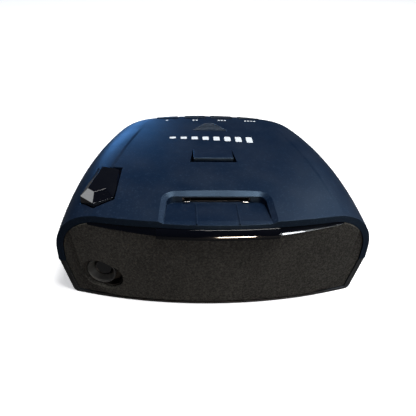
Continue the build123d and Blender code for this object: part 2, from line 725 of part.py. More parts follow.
# ---- main board and what stands on it ----
with BuildPart() as main_board:
    add(prism(plan(BOARD_Z, BOARD_INSET), BOARD_T) & box_between(-60, 60, BOARD_FRONT, BOARD_REAR, 0, 20))
    for boss_x, boss_depth in CASE_BOSSES:
        add(bore(Plane(origin=(boss_x, FRONT_Y + boss_depth, 0)), BOSS_R + 0.4, 10), mode=Mode.SUBTRACT)
    for boss_x, boss_depth in BOARD_POINTS:
        add(bore(Plane(origin=(boss_x, FRONT_Y + boss_depth, 0)), 1.1, 10), mode=Mode.SUBTRACT)
BOARD_TOP = BOARD_Z + BOARD_T

with BuildPart() as horn_antenna:
    add(box_between(-19, 19, 7, 30, BOARD_TOP + 0.4, 21.8))
    with BuildSketch(upright(6.9)):
        with Locations((0, 14)):
            Rectangle(35, 12.4)
    with BuildSketch(upright(21)):
        with Locations((0, 14)):
            Rectangle(10.7, 4.3)
    loft(mode=Mode.SUBTRACT)
    add(box_between(-5.3, 5.3, 20.5, 27.5, 11.85, 16.15), mode=Mode.SUBTRACT)
    for side in (-1, 1):
        add(box_between(side * 16 - 2, side * 16 + 2, 22, 29, BOARD_TOP, BOARD_TOP + 1))

rf_board = box_between(-19, 19, 7.4, 29, 21.8, 23)
with BuildPart() as rf_shield:
    add(box_between(-15, 15, 10, 27, 23, 26.4))
    fillet(rf_shield.edges().filter_by(Axis.Z), 1)
    add(box_between(-14.7, 14.7, 10.3, 26.7, 22, 26.1), mode=Mode.SUBTRACT)

gps_antenna = box_between(-27, -9, 44, 62, BOARD_TOP, BOARD_TOP + 5)
with BuildPart() as processor_shield:
    add(box_between(-4, 20, 38, 58, BOARD_TOP, BOARD_TOP + 2.8))
    fillet(processor_shield.edges().filter_by(Axis.Z), 1)
    add(box_between(-3.7, 19.7, 38.3, 57.7, BOARD_TOP - 1, BOARD_TOP + 2.5), mode=Mode.SUBTRACT)


def side_wall_x(depth, z):
    """Inner face of the lower right wall at a depth and a height."""
    inset = WALL + (PARTING_Z - z) * tan(radians(SKIRT_ANGLE))
    return SIDE_CENTER[0] + sqrt((SIDE_R - inset) ** 2 - (depth - SIDE_CENTER[1]) ** 2)


def side_jack(depth, bore_radius):
    """Round jack on the main board, its collar reaching into the right wall."""
    inner_x = side_wall_x(depth + 3, BOARD_TOP)
    body_high = JACK_Z + 2.7
    with BuildPart() as jack:
        add(box_between(inner_x - 12.4, inner_x - 0.4, depth - 3, depth + 3, BOARD_TOP, body_high))
        collar = Plane(origin=(inner_x - 1, FRONT_Y + depth, JACK_Z), z_dir=(1, 0, 0))
        add(bore(collar, JACK_R, 3.6))
        add(bore(collar.offset(-9), bore_radius, 14), mode=Mode.SUBTRACT)
    return jack.part


power_jack = side_jack(POWER_DEPTH, POWER_BORE_R)
audio_jack = side_jack(AUDIO_DEPTH, AUDIO_BORE_R)
with BuildPart() as data_port:
    shell, mouth_half, tongue = 3.9, 3.5, 2.6
    add(box_between(36, 45.2, DATA_DEPTH - shell, DATA_DEPTH + shell, BOARD_TOP + 0.6, BOARD_TOP + 4.6))
    fillet(data_port.edges().filter_by(Axis.X), 0.7)
    front, rear = DATA_DEPTH - mouth_half, DATA_DEPTH + mouth_half
    add(box_between(37, 47, front, rear, BOARD_TOP + 1, BOARD_TOP + 4.2), mode=Mode.SUBTRACT)
    add(box_between(36, 43, DATA_DEPTH - tongue, DATA_DEPTH + tongue, BOARD_TOP + 2.1, BOARD_TOP + 3.1))
    add(box_between(36, 41, DATA_DEPTH - tongue, DATA_DEPTH + tongue, BOARD_TOP, BOARD_TOP + 0.7))

# ---- fasteners and the blank underside label ----
underside_label = box_between(
    -LABEL_HALF, LABEL_HALF, LABEL_FRONT, LABEL_REAR, LABEL_BED - LABEL_T, LABEL_BED
)
with BuildPart() as case_screws:
    for screw_x, screw_depth in CASE_BOSSES:
        add(bore(Plane(origin=(screw_x, FRONT_Y + screw_depth, 3)), SCREW_HEAD_R, 2))
        add(bore(Plane(origin=(screw_x, FRONT_Y + screw_depth, 4.5)), SCREW_R, 11.5))
with BuildPart() as board_screws:
    for screw_x, screw_depth in BOARD_POINTS:
        add(bore(Plane(origin=(screw_x, FRONT_Y + screw_depth, BOARD_TOP)), 1.8, 1.2))
        add(bore(Plane(origin=(screw_x, FRONT_Y + screw_depth, 1.5)), 0.9, BOARD_TOP - 1))

# ---- write every piece ----
PIECES = {
    "upper_housing": upper_housing.part,
    "lower_housing": lower_housing.part,
    "front_panel": front_panel.part,
    "brow_window": brow_window.part,
    "eye_barrel": eye_barrel.part,
    "eye_tube": eye_tube.part,
    "eye_lens": eye_lens.part,
    "eye_board": eye_board.part,
    "eye_diode": eye_diode.part,
    "side_lens": side_lens.part,
    "side_board": side_board,
    "side_diode": side_diode,
    "release_button": release_button.part,
    "button_retainer": button_retainer.part,
    "button_spring": button_spring.part,
    "slot_liner": slot_liner.part,
    "key_board": key_board,
    "key_switches": key_switches.part,
    "speaker": speaker.part,
    "speaker_cloth": speaker_cloth.part,
    "display_window": display_window.part,
    "display_module": display_module,
    "display_board": display_board,
    "main_board": main_board.part,
    "horn_antenna": horn_antenna.part,
    "rf_board": rf_board,
    "rf_shield": rf_shield.part,
    "gps_antenna": gps_antenna,
    "processor_shield": processor_shield.part,
    "power_jack": power_jack,
    "audio_jack": audio_jack,
    "data_port": data_port.part,
    "underside_label": underside_label,
    "case_screws": case_screws.part,
    "board_screws": board_screws.part,
}
PIECES.update(key_parts)
for name, piece in PIECES.items():
    keep(piece, name)
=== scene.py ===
import math

import bmesh
import bpy
from bpy.props import FloatProperty, FloatVectorProperty, IntProperty, PointerProperty
from mathutils import Matrix, Vector
from mathutils.bvhtree import BVHTree


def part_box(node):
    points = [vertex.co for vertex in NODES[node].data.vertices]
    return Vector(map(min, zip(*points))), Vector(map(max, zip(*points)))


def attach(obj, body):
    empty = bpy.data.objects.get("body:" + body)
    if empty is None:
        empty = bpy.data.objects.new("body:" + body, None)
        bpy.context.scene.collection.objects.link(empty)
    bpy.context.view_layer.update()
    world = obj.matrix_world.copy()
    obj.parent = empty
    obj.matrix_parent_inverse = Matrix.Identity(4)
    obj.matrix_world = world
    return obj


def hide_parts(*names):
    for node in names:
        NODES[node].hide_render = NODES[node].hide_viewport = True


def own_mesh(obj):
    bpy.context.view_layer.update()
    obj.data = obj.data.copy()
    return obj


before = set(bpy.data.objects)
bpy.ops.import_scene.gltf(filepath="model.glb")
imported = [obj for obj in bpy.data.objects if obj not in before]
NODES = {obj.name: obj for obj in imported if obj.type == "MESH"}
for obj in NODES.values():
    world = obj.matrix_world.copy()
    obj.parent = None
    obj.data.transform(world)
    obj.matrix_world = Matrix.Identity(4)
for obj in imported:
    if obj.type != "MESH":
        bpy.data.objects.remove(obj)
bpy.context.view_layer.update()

bl_info = {
    "name": "Radar detector",
    "version": (1, 0, 0),
    "blender": (4, 5, 0),
    "location": "View3D > Sidebar > Detector",
    "description": "Finishes the packed radar detector: paint, textured front, gloss windows, printed marks",
    "category": "Object",
}

MM = 0.001
FRONT_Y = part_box("upper_housing")[0].y / MM  # millimetres, depths are counted from here

# millimetres, measured across (X) and back from the front (depth)
GRILLE_SLOTS = 6
GRILLE_FRONT = 55.9
GRILLE_PITCH = 1.42
GRILLE_FRONT_HALF = 6.5
GRILLE_REAR_HALF = 2.2
GRILLE_HIGHLIGHT_SETBACK = 0.62  # from a slot's front to the painted highlight plate behind it
GRILLE_PLATE = 0.36
CLIP_PROFILE = [  # depth, height
    (12.0, 31.55), (12.6, 31.25), (13.4, 31.5), (15.5, 31.4),
    (15.5, 31.6), (13.4, 31.7), (12.6, 31.45), (12.05, 31.75),
]
CLIP_EDGE = 0.05
SCALE_WIDTH = 28.4
SCALE_BACK = 49.7
SCALE_BAR = 2.3
SCALE_SHORT = 1.5
SCALE_GROWTH = 3.2
SCALE_CORNER = 0.4
SIGN_DEPTH = 67.8
SIGN_PITCH = 1.25
SIGN_WIDTH = 0.85
SIGN_LENGTH = 1.0
SIGN_CORNER = 0.2
ABOVE_LID = 60


def mm(*values):
    """Millimetres to a vector in metres."""
    return Vector(values) * MM


# ------------------------------------------------------------------ settings


def shade(name, text, default):
    """A colour setting."""
    return FloatVectorProperty(
        name=name, description=text, subtype="COLOR", size=3, min=0, max=1, default=default
    )


def share(name, text, default):
    """A setting from nothing to everything."""
    return FloatProperty(name=name, description=text, subtype="FACTOR", min=0, max=1, default=default)


def span(name, text, default):
    """A length setting."""
    return FloatProperty(
        name=name, description=text, subtype="DISTANCE", unit="LENGTH", min=0, default=default
    )


def place(name, text, default):
    """A point setting."""
    return FloatVectorProperty(
        name=name, description=text, subtype="TRANSLATION", unit="LENGTH", size=3, default=default
    )


class DETECTOR_PG_casing(bpy.types.PropertyGroup):
    """Paint of the lid and grain of the lower half."""

    paint: shade("Paint", "Satin paint of the lid", (0.0020, 0.0085, 0.0260))
    fleck: shade("Fleck", "Fine metal fleck in the paint", (0.030, 0.055, 0.100))
    worn: shade("Worn edge", "Paint rubbed thin along the edges", (0.040, 0.058, 0.085))
    lower: shade("Lower half", "Moulded plastic of the lower half", (0.006, 0.009, 0.014))
    roughness: share("Roughness", "Roughness of the paint", 0.40)
    fleck_size: span("Fleck size", "Size of one fleck", 0.00035)


class DETECTOR_PG_front(bpy.types.PropertyGroup):
    """Textured front panel and the gloss parts."""

    panel: shade("Panel", "Dark tone of the textured panel", (0.018, 0.0172, 0.0150))
    grains: shade("Panel grains", "Light grains in the panel", (0.135, 0.128, 0.108))
    gloss: shade("Gloss", "Infrared windows", (0.0006, 0.0008, 0.0032))
    tube: shade("Tube", "Smooth tube round the forward lens", (0.200, 0.193, 0.176))
    grain_size: span("Grain size", "Size of one grain of the panel", 0.0006)


class DETECTOR_PG_marks(bpy.types.PropertyGroup):
    """Printed marks on the lid."""

    ink: shade("Ink", "White printed marks", (0.78, 0.83, 0.88))
    thickness: span("Ink thickness", "Height of the print over the paint", 0.00003)
    bars: IntProperty(name="Bars", description="Bars in the strength scale", min=3, max=12, default=8)


class DETECTOR_PG_details(bpy.types.PropertyGroup):
    """Small parts added to the lid."""

    # The grille edge colour is a painted highlight on thin plates behind the grille slots, standing in for
    # the lit slot walls
    edge: shade("Grille painted highlight", "Bright edge behind each slot of the grille", (0.12, 0.14, 0.17))
    clip_middle: span("Clip middle", "Distance of each slot clip from the middle", 0.0091)
    clip_width: span("Clip width", "Width of each slot clip", 0.0019)
    spring_travel: span("Spring travel", "How far the button presses its spring", 0.0015)


class DETECTOR_PG_studio(bpy.types.PropertyGroup):
    """Camera, floor and light of the studio."""

    camera: place("Camera", "Place of the camera", mm(-9.957, -144.153, 105.443)[:])
    turn: FloatVectorProperty(
        name="Turn",
        description="Rotation of the camera",
        subtype="EULER",
        unit="ROTATION",
        size=3,
        default=[math.radians(angle) for angle in (56.390, -1.714, -2.577)],
    )
    lens: FloatProperty(
        name="Lens", description="Focal length on a 36 mm sensor", min=10, max=200, default=38.08
    )
    floor: shade("Floor", "Pale floor", (0.93, 0.93, 0.94))
    bounce: share("Floor bounce", "Share of its light that the floor sends on to the detector", 0.10)
    sky: shade("Sky", "Soft light from all round", (0.52, 0.62, 0.80))
    sky_power: FloatProperty(
        name="Sky power", description="Strength of the light from all round", default=0.07
    )


# ------------------------------------------------------------------ node trees


class Net:
    """Short way to add nodes to one tree and join them."""

    def __init__(self, tree):
        self.tree = tree

    def add(self, kind, inputs=None, **settings):
        node = self.tree.nodes.new(kind)
        for key, value in settings.items():
            setattr(node, key, value)
        for key, value in (inputs or {}).items():
            self.feed(node.inputs[key], value)
        return node

    def feed(self, socket, value):
        if isinstance(value, bpy.types.NodeSocket):
            self.tree.links.new(value, socket)
        elif socket.type == "RGBA" and len(value) == 3:
            socket.default_value = (*value, 1)
        else:
            socket.default_value = value

    def math(self, operation, first, second=0.0, clamp=False):
        node = self.add("ShaderNodeMath", {0: first, 1: second}, operation=operation, use_clamp=clamp)
        return node.outputs[0]

    def ramp(self, value, low, high, to_low=0.0, to_high=1.0):
        """Value between two limits, spread smoothly over a new range."""
        node = self.add(
            "ShaderNodeMapRange",
            {"Value": value, "From Min": low, "From Max": high, "To Min": to_low, "To Max": to_high},
            interpolation_type="SMOOTHSTEP",
        )
        return node.outputs["Result"]

    def mix(self, factor, first, second):
        """Colour between two colours."""
        node = self.add("ShaderNodeMix", data_type="RGBA")
        self.feed(node.inputs["Factor"], factor)
        self.feed(node.inputs[6], first)
        self.feed(node.inputs[7], second)
        return node.outputs[2]

    def noise(self, scale, detail=2.0, rough=0.5, vector=None):
        inputs = {"Scale": scale, "Detail": detail, "Roughness": rough}
        if vector is None:
            vector = self.add("ShaderNodeTexCoord").outputs["Object"]
        inputs["Vector"] = vector
        return self.add("ShaderNodeTexNoise", inputs).outputs["Fac"]


GROUPS = {}


def group(name, inputs, outputs):
    """New shader node group with float inputs, and its net and end nodes."""
    tree = bpy.data.node_groups.new(name, "ShaderNodeTree")
    for label, default in inputs:
        socket = tree.interface.new_socket(name=label, in_out="INPUT", socket_type="NodeSocketFloat")
        socket.default_value = default
    for label, kind in outputs:
        tree.interface.new_socket(name=label, in_out="OUTPUT", socket_type=f"NodeSocket{kind}")
    net = Net(tree)
    GROUPS[name] = tree
    return net, net.add("NodeGroupInput"), net.add("NodeGroupOutput")


def build_fleck():
    """Fine metal fleck and the faint ripple of sprayed paint."""
    net, start, end = group(
        "paint_fleck", [("Size", 0.0003), ("Share", 0.2)], [("Mask", "Float"), ("Height", "Float")]
    )
    scale = net.math("DIVIDE", 1.0, start.outputs["Size"])
    point = net.add("ShaderNodeTexCoord").outputs["Object"]
    cells = net.add("ShaderNodeTexVoronoi", {"Vector": point, "Scale": scale}, feature="F1")
    tone = net.add("ShaderNodeSeparateColor", {"Color": cells.outputs["Color"]}).outputs[0]
    edge = net.math("SUBTRACT", 1.0, start.outputs["Share"])
    net.feed(end.inputs["Mask"], net.ramp(tone, edge, 1.0))
    ripple = net.noise(net.math("MULTIPLY", scale, 0.5), 3.0, 0.6, point)
    net.feed(end.inputs["Height"], ripple)


def build_edge():
    """Edges rounded by a small radius, and how near each point is to an outer edge."""
    net, start, end = group(
        "edge_wear", [("Radius", 0.0003), ("Wear", 0.5)], [("Normal", "Vector"), ("Mask", "Float")]
    )
    soft = net.add("ShaderNodeBevel", {"Radius": start.outputs["Radius"]}, samples=6).outputs["Normal"]
    flat = net.add("ShaderNodeNewGeometry").outputs["Normal"]
    same = net.add("ShaderNodeVectorMath", {0: soft, 1: flat}, operation="DOT_PRODUCT").outputs["Value"]
    turn = net.ramp(net.math("SUBTRACT", 1.0, same), 0.02, 0.25)
    patches = net.ramp(net.noise(900.0, 4.0, 0.65), 0.35, 0.75)
    worn = net.math("MULTIPLY", net.math("MULTIPLY", turn, patches), start.outputs["Wear"])
    net.feed(end.inputs["Normal"], soft)
    net.feed(end.inputs["Mask"], worn)


def build_dust():
    """Thin dust that lies on what faces up."""
    net, start, end = group("dust", [("Amount", 0.1)], [("Mask", "Float")])
    normal = net.add("ShaderNodeNewGeometry").outputs["Normal"]
    height = net.add("ShaderNodeSeparateXYZ", {0: normal}).outputs["Z"]
    clouds = net.ramp(net.noise(60.0, 5.0, 0.6), 0.3, 0.8)
    specks = net.ramp(net.noise(3200.0, 1.0, 0.5), 0.70, 0.78)
    both = net.math("ADD", net.math("MULTIPLY", clouds, 0.6), specks)
    facing = net.math("MULTIPLY", both, net.ramp(height, 0.2, 0.9))
    net.feed(end.inputs["Mask"], net.math("MULTIPLY", facing, start.outputs["Amount"], clamp=True))


def build_smudge():
    """Uneven sheen left by handling."""
    net, start, end = group("smudge", [("Scale", 60.0), ("Low", 0.3), ("High", 0.5)], [("Value", "Float")])
    broad = net.noise(start.outputs["Scale"], 4.0, 0.55)
    value = net.add(
        "ShaderNodeMapRange",
        {"Value": broad, "From Min": 0.3, "From Max": 0.7, "To Min": start.outputs["Low"],
         "To Max": start.outputs["High"]},
        interpolation_type="SMOOTHSTEP",
    )
    net.feed(end.inputs["Value"], value.outputs["Result"])


def build_grain():
    """Fine moulded grain, as a height."""
    net, start, end = group("mould_grain", [("Size", 0.0004)], [("Height", "Float")])
    scale = net.math("DIVIDE", 1.0, start.outputs["Size"])
    point = net.add("ShaderNodeTexCoord").outputs["Object"]
    cells = net.add("ShaderNodeTexVoronoi", {"Vector": point, "Scale": scale}, feature="SMOOTH_F1")
    fine = net.noise(net.math("MULTIPLY", scale, 2.0), 2.0, 0.5, point)
    fine = net.math("MULTIPLY", fine, 0.5)
    net.feed(end.inputs["Height"], net.math("ADD", cells.outputs["Distance"], fine))


def build_speckle():
    """Coarse grains of the foam-like front panel: how light each one is, and its height."""
    net, start, end = group("panel_speckle", [("Size", 0.0009)], [("Light", "Float"), ("Height", "Float")])
    scale = net.math("DIVIDE", 1.0, start.outputs["Size"])
    point = net.add("ShaderNodeTexCoord").outputs["Object"]
    coarse = net.noise(scale, 5.0, 0.75, point)
    fine = net.noise(net.math("MULTIPLY", scale, 3.1), 3.0, 0.7, point)
    blend = net.math("ADD", net.math("MULTIPLY", coarse, 0.65), net.math("MULTIPLY", fine, 0.35))
    broad = net.math("MULTIPLY", net.math("SUBTRACT", net.noise(90.0, 3.0, 0.5, point), 0.5), 0.10)
    net.feed(end.inputs["Light"], net.ramp(net.math("ADD", blend, broad), 0.40, 0.66))
    net.feed(end.inputs["Height"], blend)


def build_weave():
    """Plain weave of fine threads, as a height."""
    net, start, end = group("weave", [("Pitch", 0.0005)], [("Height", "Float")])
    scale = net.math("DIVIDE", math.tau, start.outputs["Pitch"])
    point = net.add("ShaderNodeSeparateXYZ", {0: net.add("ShaderNodeTexCoord").outputs["Object"]})
    across = net.math("SINE", net.math("MULTIPLY", point.outputs["X"], scale))
    along = net.math("SINE", net.math("MULTIPLY", point.outputs["Y"], scale))
    net.feed(end.inputs["Height"], net.math("MULTIPLY", across, along))


def build_crease():
    """Low step along each shoulder of the lid, where the crown meets the side."""
    net, start, end = group("shoulder_crease", [("Width", 0.0008)], [("Height", "Float")])
    point = net.add("ShaderNodeSeparateXYZ", {0: net.add("ShaderNodeTexCoord").outputs["Object"]})
    across = net.math("ABSOLUTE", point.outputs["X"])
    depth = net.math("SUBTRACT", point.outputs["Y"], FRONT_Y * MM)
    bend = net.math("MULTIPLY", net.math("MULTIPLY", depth, depth), 1.4)
    line = net.math("SUBTRACT", net.math("SUBTRACT", 0.0383, net.math("MULTIPLY", depth, 0.12)), bend)
    away = net.math("DIVIDE", net.math("SUBTRACT", across, line), start.outputs["Width"])
    fade = net.math("MULTIPLY", net.ramp(depth, 0.004, 0.014), net.ramp(depth, 0.050, 0.062, 1.0, 0.0))
    net.feed(end.inputs["Height"], net.math("MULTIPLY", net.ramp(away, -1.0, 1.0), fade))


EFFECTS = (
    build_fleck,
    build_edge,
    build_dust,
    build_smudge,
    build_grain,
    build_speckle,
    build_weave,
    build_crease,
)


class Finish:
    """One material under construction, with its shader and bump chain."""

    def __init__(self, name, roughness=0.5, metallic=0.0):
        self.material = bpy.data.materials.new(name)
        self.material.use_nodes = True
        self.net = Net(self.material.node_tree)
        self.shader = self.material.node_tree.nodes["Principled BSDF"]
        self.normal = None
        self.set("Roughness", roughness)
        self.set("Metallic", metallic)

    def set(self, socket, value):
        self.net.feed(self.shader.inputs[socket], value)
        return self

    def group(self, name, **inputs):
        node = self.net.add("ShaderNodeGroup", node_tree=GROUPS[name])
        for key, value in inputs.items():
            self.net.feed(node.inputs[key], value)
        return node

    def rounded(self, radius, wear=0.0):
        """Rounds the edges and gives back the wear along them."""
        node = self.group("edge_wear", Radius=radius, Wear=wear)
        self.normal = node.outputs["Normal"]
        self.set("Normal", self.normal)
        return node.outputs["Mask"]

    def bump(self, height, strength, distance):
        inputs = {"Height": height, "Strength": strength, "Distance": distance}
        node = self.net.add("ShaderNodeBump", inputs)
        if self.normal is not None:
            self.net.feed(node.inputs["Normal"], self.normal)
        self.normal = node.outputs["Normal"]
        self.set("Normal", self.normal)
        return self


def painted(name, color, settings, roughness, edge=0.0002, creased=False):
    """Satin paint with a fine fleck, worn thin along its edges."""
    finish = Finish(name)
    worn = finish.rounded(edge, 0.7)
    fleck = finish.group("paint_fleck", Size=settings.fleck_size, Share=0.16)
    dust = finish.group("dust", Amount=0.05)
    tone = finish.net.mix(finish.net.math("MULTIPLY", fleck.outputs["Mask"], 0.32), color, settings.fleck)
    tone = finish.net.mix(worn, tone, settings.worn)
    tone = finish.net.mix(dust.outputs["Mask"], tone, (0.30, 0.30, 0.29))
    sheen = finish.group("smudge", Scale=45.0, Low=roughness - 0.05, High=roughness + 0.06)
    finish.set("Base Color", tone).set("Roughness", sheen.outputs["Value"])
    finish.set("Specular IOR Level", 0.30).set("Specular Tint", (0.45, 0.70, 1.0))
    if creased:
        crease = finish.group("shoulder_crease", Width=0.0007)
        finish.bump(crease.outputs["Height"], 1.0, 0.00016)
    return finish.bump(fleck.outputs["Height"], 0.16, 0.00006).material


def grained(name, color, light, size, roughness=0.55, depth=0.00005):
    """Moulded plastic with a fine grain."""
    finish = Finish(name)
    worn = finish.rounded(0.0002, 0.8)
    grain = finish.group("mould_grain", Size=size)
    patch = finish.net.ramp(finish.net.noise(120.0, 4.0, 0.6), 0.3, 0.8, 0.0, 0.5)
    tone = finish.net.mix(patch, color, [0.6 * a + 0.4 * b for a, b in zip(color, light)])
    sheen = finish.group("smudge", Scale=70.0, Low=roughness - 0.06, High=roughness + 0.08)
    finish.set("Base Color", finish.net.mix(worn, tone, light)).set("Roughness", sheen.outputs["Value"])
    finish.set("Specular IOR Level", 0.4)
    return finish.bump(grain.outputs["Height"], 0.35, depth).material


def polished(name, color, roughness=0.06, level=0.5, dust_share=0.03):
    """Clear gloss plastic with hairline scratches and a little dust."""
    finish = Finish(name)
    finish.rounded(0.00018)
    point = finish.net.add("ShaderNodeTexCoord").outputs["Object"]
    stretch = finish.net.add("ShaderNodeMapping", {"Vector": point, "Scale": (1.0, 14.0, 14.0)})
    hair = finish.net.ramp(finish.net.noise(900.0, 2.0, 0.5, stretch.outputs[0]), 0.66, 0.74, 0.0, 0.10)
    sheen = finish.group("smudge", Scale=80.0, Low=roughness * 0.6, High=roughness * 1.6)
    dust = finish.group("dust", Amount=dust_share)
    finish.set("Base Color", finish.net.mix(dust.outputs["Mask"], color, (0.25, 0.25, 0.25)))
    finish.set("Roughness", finish.net.math("ADD", sheen.outputs["Value"], hair))
    finish.set("Specular IOR Level", level)
    return finish.material


def metal(name, color, dark, roughness=0.3):
    """Brushed or plated metal with faint stains."""
    finish = Finish(name, metallic=1.0)
    finish.rounded(0.00012)
    point = finish.net.add("ShaderNodeTexCoord").outputs["Object"]
    stretch = finish.net.add("ShaderNodeMapping", {"Vector": point, "Scale": (1.0, 22.0, 1.0)})
    lines = finish.net.noise(700.0, 3.0, 0.6, stretch.outputs[0])
    tone = finish.net.mix(finish.net.ramp(lines, 0.3, 0.7), dark, color)
    finish.set("Base Color", tone)
    finish.set("Roughness", finish.net.ramp(lines, 0.2, 0.8, roughness - 0.08, roughness + 0.10))
    return finish.bump(lines, 0.08, 0.00003).material


def put_on(material, *nodes):
    """Gives the material to CAD nodes."""
    for node in nodes:
        slots = NODES[node].material_slots
        if not slots:
            NODES[node].data.materials.append(material)
        for slot in slots:
            slot.material = material


# ------------------------------------------------------------------ casing


class DETECTOR_OT_effects(bpy.types.Operator):
    """Build the shader node groups that the finishes share"""

    bl_idname = "detector.effects"
    bl_label = "Shared effects"
    bl_options = {"REGISTER", "UNDO"}

    def execute(self, context):
        for make in EFFECTS:
            make()
        return {"FINISHED"}


class DETECTOR_OT_casing(bpy.types.Operator):
    """Paint the lid and grain the lower half"""

    bl_idname = "detector.casing"
    bl_label = "Casing"
    bl_options = {"REGISTER", "UNDO"}

    def execute(self, context):
        scene = context.scene
        look = scene.detector_casing
        lid = painted("housing_paint", look.paint, look, look.roughness, creased=True)
        put_on(lid, "upper_housing")
        put_on(painted("button_paint", look.paint, look, look.roughness - 0.04), "release_button")
        lower = grained("lower_shell", look.lower, look.worn, 0.00045, 0.5)
        put_on(lower, "lower_housing")
        keys = grained("key_rubber", [v * 1.2 for v in look.lower], look.worn, 0.0003, 0.42)
        put_on(keys, "key_1", "key_2", "key_3", "key_4")
        return {"FINISHED"}


class DETECTOR_OT_front(bpy.types.Operator):
    """Texture the front panel and polish the windows"""

    bl_idname = "detector.front"
    bl_label = "Front"
    bl_options = {"REGISTER", "UNDO"}

    def execute(self, context):
        scene = context.scene
        look = scene.detector_front
        finish = Finish("foam_panel")
        finish.rounded(0.00025)
        speckle = finish.group("panel_speckle", Size=look.grain_size)
        tone = finish.net.mix(speckle.outputs["Light"], look.panel, look.grains)
        finish.set("Base Color", tone).set("Specular IOR Level", 0.25)
        finish.set("Roughness", finish.net.ramp(speckle.outputs["Light"], 0, 1, 0.95, 0.7))
        put_on(finish.bump(speckle.outputs["Height"], 0.9, 0.0003).material, "front_panel")
        put_on(polished("infrared_window", look.gloss, 0.05, 0.5), "brow_window", "side_lens")
        put_on(polished("display_glass", (0.006, 0.006, 0.007), 0.08, 0.5), "display_window")
        barrel = grained("barrel_black", (0.0012, 0.0012, 0.0014), (0.01, 0.01, 0.01), 0.0003, 0.6)
        put_on(barrel, "eye_barrel")
        tube = grained("tube_grey", look.tube, [v * 1.5 for v in look.tube], 0.0005, 0.38, 0.00001)
        put_on(tube, "eye_tube")
        lens = polished("lens_glass", (0.004, 0.004, 0.006), 0.03, 0.9)
        put_on(lens, "eye_lens")
        return {"FINISHED"}


class DETECTOR_OT_inside(bpy.types.Operator):
    """Finish what lies inside and underneath"""

    bl_idname = "detector.inside"
    bl_label = "Inside"
    bl_options = {"REGISTER", "UNDO"}

    def execute(self, context):
        scene = context.scene
        board = polished("board_green", (0.010, 0.055, 0.028), 0.35, 0.5)
        put_on(board, "main_board", "rf_board", "eye_board", "side_board", "key_board", "display_board")
        chips = grained("chip_black", (0.008, 0.008, 0.008), (0.03, 0.03, 0.03), 0.0003, 0.6)
        put_on(chips, "eye_diode", "side_diode", "key_switches", "display_module")
        put_on(chips, "speaker", "button_retainer")
        jack = grained("jack_black", (0.006, 0.006, 0.007), (0.03, 0.03, 0.03), 0.0003, 0.45)
        put_on(jack, "power_jack", "audio_jack")
        steel = metal("bright_steel", (0.62, 0.62, 0.64), (0.42, 0.42, 0.44), 0.28)
        put_on(steel, "button_spring", "rf_shield", "processor_shield", "data_port", "board_screws")
        put_on(metal("liner_steel", (0.10, 0.10, 0.105), (0.05, 0.05, 0.055), 0.4), "slot_liner")
        put_on(metal("dark_steel", (0.09, 0.09, 0.095), (0.045, 0.045, 0.05), 0.35), "case_screws")
        put_on(metal("cast_alloy", (0.5, 0.5, 0.51), (0.36, 0.36, 0.37), 0.45), "horn_antenna")
        put_on(grained("ceramic", (0.42, 0.34, 0.25), (0.6, 0.55, 0.45), 0.0004, 0.6), "gps_antenna")
        put_on(metal("label_film", (0.42, 0.43, 0.44), (0.34, 0.35, 0.36), 0.42), "underside_label")
        cloth = Finish("acoustic_cloth", roughness=0.9)
        weave = cloth.group("weave", Pitch=0.0004)
        raised = cloth.net.ramp(weave.outputs["Height"], -1, 1)
        tone = cloth.net.mix(raised, (0.13, 0.14, 0.16), (0.36, 0.38, 0.42))
        cloth.set("Base Color", tone)
        put_on(cloth.bump(weave.outputs["Height"], 0.5, 0.0001).material, "speaker_cloth")
        return {"FINISHED"}


# ------------------------------------------------------------------ printed marks


def lid_finder():
    """Function that gives the height of the lid, in metres, at an X and a depth in millimetres."""
    lid = NODES["upper_housing"].data
    tree = BVHTree.FromPolygons([v.co for v in lid.vertices], [p.vertices for p in lid.polygons])

    def find(x, depth):
        hit = tree.ray_cast(mm(x, FRONT_Y + depth, ABOVE_LID), Vector((0, 0, -1)))[0]
        if hit is None:
            raise RuntimeError(f"the lid has no surface at {x}, {depth}")
        return hit.z

    return find


def bar(x, depth, width, length, corner=0.25):
    """Rounded bar as a loop of X and depth, in millimetres."""
    loop = []
    for quarter, (side, end) in enumerate(((1, 1), (-1, 1), (-1, -1), (1, -1))):
        cx, cy = x + side * (width / 2 - corner), depth + end * (length / 2 - corner)
        for step in range(5):
            angle = math.radians(90 * quarter + 22.5 * step)
            loop.append((cx + corner * math.cos(angle), cy + corner * math.sin(angle)))
    return loop


def printed(name, loops, material, thickness):
    """Thin closed plates of ink that follow the lid, one for each loop."""
    find = lid_finder()
    mesh = bpy.data.meshes.new(name)
    net = bmesh.new()
    for loop in loops:
        top = []
        low = []
        for x, depth in loop:
            level = find(x, depth)
            top.append(net.verts.new((x * MM, (FRONT_Y + depth) * MM, level + thickness)))
            low.append(net.verts.new((x * MM, (FRONT_Y + depth) * MM, level - thickness)))
        net.faces.new(top)
        net.faces.new(reversed(low))
        for index in range(len(loop)):
            after = (index + 1) % len(loop)
            net.faces.new((low[index], low[after], top[after], top[index]))
    net.to_mesh(mesh)
    net.free()
    mesh.materials.append(material)
    piece = bpy.data.objects.new(name, mesh)
    bpy.context.scene.collection.objects.link(piece)
    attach(piece, "casing")
    return piece


